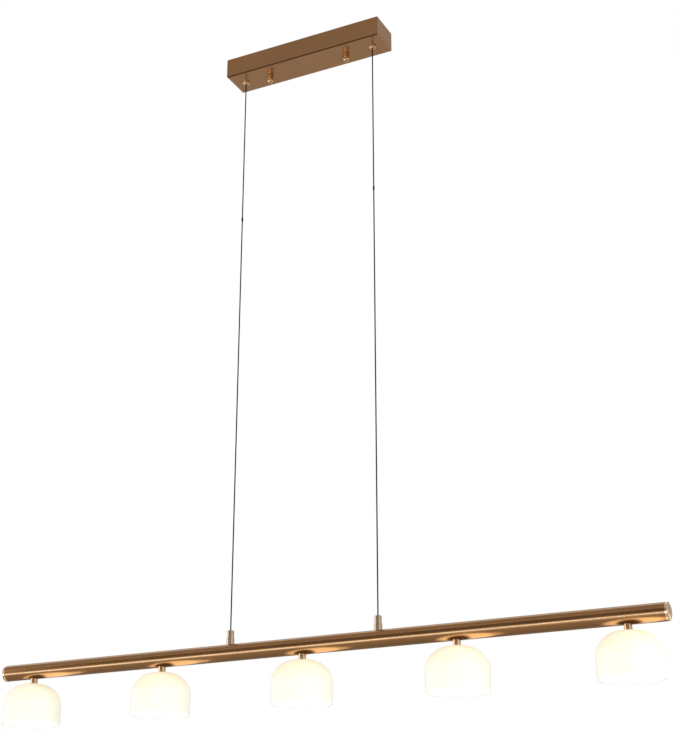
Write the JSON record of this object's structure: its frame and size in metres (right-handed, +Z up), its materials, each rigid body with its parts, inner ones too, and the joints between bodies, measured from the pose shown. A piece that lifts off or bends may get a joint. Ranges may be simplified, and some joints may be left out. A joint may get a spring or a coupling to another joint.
{
  "type": "linear island pendant",
  "caption": "Linear island pendant: a round metal bar hung level on two cords from a long canopy, with a row of downward opal glass bell shades on short necks.",
  "frame": {"origin": "centre of the ceiling plane, between the two ceiling screw slots of the bracket", "axes": "+Z up into the ceiling, X along the bar with left at -X, +Y to the back, so -Y is the front"},
  "size_m": [1.2, 0.1, 1.2314],
  "materials": {
    "canopy_metal": "satin, brushed lengthwise",
    "bar_metal": "satin, lightly brushed",
    "turned_metal": "polished, turned",
    "zinc_steel": "zinc plated",
    "opal_glass": "opal white, satin",
    "bulb_glass": "frosted",
    "cord_sheath": "matte black",
    "clip_plastic": "matte black",
    "terminal_plastic": "matte off-white",
    "holder_ceramic": "unglazed white",
    "base_ceramic": "unglazed off-white",
    "washer_rubber": "clear soft",
    "loom_sheath": "matte"
  },
  "bodies": {
    "canopy_set": {"ceiling_bracket": "zinc_steel", "bracket_studs": "zinc_steel", "stud_nuts": "zinc_steel", "bracket_screws": "zinc_steel", "canopy": "canopy_metal", "gland_nuts": "turned_metal", "terminal_block": "terminal_plastic", "cord_gland_left": "turned_metal", "cord_gland_right": "turned_metal", "cord_tail_left": "cord_sheath", "cord_tail_right": "cord_sheath"},
    "cap_nut_left": {"cap_nut_left": "turned_metal"},
    "cap_nut_right": {"cap_nut_right": "turned_metal"},
    "swivel_left": {"swivel_ball_left": "turned_metal", "cord_stop_left": "zinc_steel"},
    "hanging_cord_left": {"cord_left": "cord_sheath", "cord_clip_left": "clip_plastic"},
    "swivel_right": {"swivel_ball_right": "turned_metal", "cord_stop_right": "zinc_steel"},
    "hanging_cord_right": {"cord_right": "cord_sheath", "cord_clip_right": "clip_plastic"},
    "bar": {"bar_tube": "bar_metal", "thin_nuts": "zinc_steel", "wiring_loom": "loom_sheath", "lamp_nipples": "zinc_steel", "shade_nuts": "turned_metal", "shade_washers": "washer_rubber", "grip_screws": "zinc_steel", "end_cap_left": "bar_metal", "stem_base_left": "turned_metal", "cord_grip_left": "turned_metal", "end_cap_right": "bar_metal", "stem_base_right": "turned_metal", "cord_grip_right": "turned_metal", "neck_1": "turned_metal", "shade_1": "opal_glass", "lampholder_1": "holder_ceramic", "neck_2": "turned_metal", "shade_2": "opal_glass", "lampholder_2": "holder_ceramic", "neck_3": "turned_metal", "shade_3": "opal_glass", "lampholder_3": "holder_ceramic", "neck_4": "turned_metal", "shade_4": "opal_glass", "lampholder_4": "holder_ceramic", "neck_5": "turned_metal", "shade_5": "opal_glass", "lampholder_5": "holder_ceramic"},
    "bulb_1": {"bulb_base_1": "base_ceramic", "bulb_glass_1": "bulb_glass"},
    "bulb_2": {"bulb_base_2": "base_ceramic", "bulb_glass_2": "bulb_glass"},
    "bulb_3": {"bulb_base_3": "base_ceramic", "bulb_glass_3": "bulb_glass"},
    "bulb_4": {"bulb_base_4": "base_ceramic", "bulb_glass_4": "bulb_glass"},
    "bulb_5": {"bulb_base_5": "base_ceramic", "bulb_glass_5": "bulb_glass"}
  },
  "joints": [
    {"name": "swing_front_back", "type": "hinge", "parent": "canopy_set", "child": "swivel_left", "pos_m": [-0.135, 0, -0.0404], "axis": [1, 0, 0], "range_deg": [-15, 15]},
    {"name": "swing_lengthwise", "type": "hinge", "parent": "swivel_left", "child": "hanging_cord_left", "pos_m": [-0.135, 0, -0.0427], "axis": [0, 1, 0], "range_deg": [-15, 15]},
    {"name": "bar_level", "type": "hinge", "parent": "hanging_cord_left", "child": "bar", "pos_m": [-0.135, 0, -1.1042], "axis": [0, 1, 0], "range_deg": [-15, 15]},
    {"name": "swing_front_back_right", "type": "hinge", "parent": "canopy_set", "child": "swivel_right", "pos_m": [0.135, 0, -0.0404], "axis": [1, 0, 0], "range_deg": [-15, 15]},
    {"name": "swing_lengthwise_right", "type": "hinge", "parent": "swivel_right", "child": "hanging_cord_right", "pos_m": [0.135, 0, -0.0427], "axis": [0, 1, 0], "range_deg": [-15, 15]},
    {"name": "cap_nut_left_turn", "type": "hinge", "parent": "canopy_set", "child": "cap_nut_left", "pos_m": [-0.081, 0, -0.045], "axis": [0, 0, 1], "continuous": true},
    {"name": "cap_nut_right_turn", "type": "hinge", "parent": "canopy_set", "child": "cap_nut_right", "pos_m": [0.081, 0, -0.045], "axis": [0, 0, 1], "continuous": true},
    {"name": "bulb_1_pull", "type": "slide", "parent": "bar", "child": "bulb_1", "axis": [0, 0, -1], "range_m": [0, 0.012]},
    {"name": "bulb_2_pull", "type": "slide", "parent": "bar", "child": "bulb_2", "axis": [0, 0, -1], "range_m": [0, 0.012]},
    {"name": "bulb_3_pull", "type": "slide", "parent": "bar", "child": "bulb_3", "axis": [0, 0, -1], "range_m": [0, 0.012]},
    {"name": "bulb_4_pull", "type": "slide", "parent": "bar", "child": "bulb_4", "axis": [0, 0, -1], "range_m": [0, 0.012]},
    {"name": "bulb_5_pull", "type": "slide", "parent": "bar", "child": "bulb_5", "axis": [0, 0, -1], "range_m": [0, 0.012]}
  ],
  "couplings": [
    {"joint": "bar_level", "follows": "swing_lengthwise", "ratio": -1},
    {"joint": "swing_front_back_right", "follows": "swing_front_back", "ratio": 1},
    {"joint": "swing_lengthwise_right", "follows": "swing_lengthwise", "ratio": 1}
  ]
}
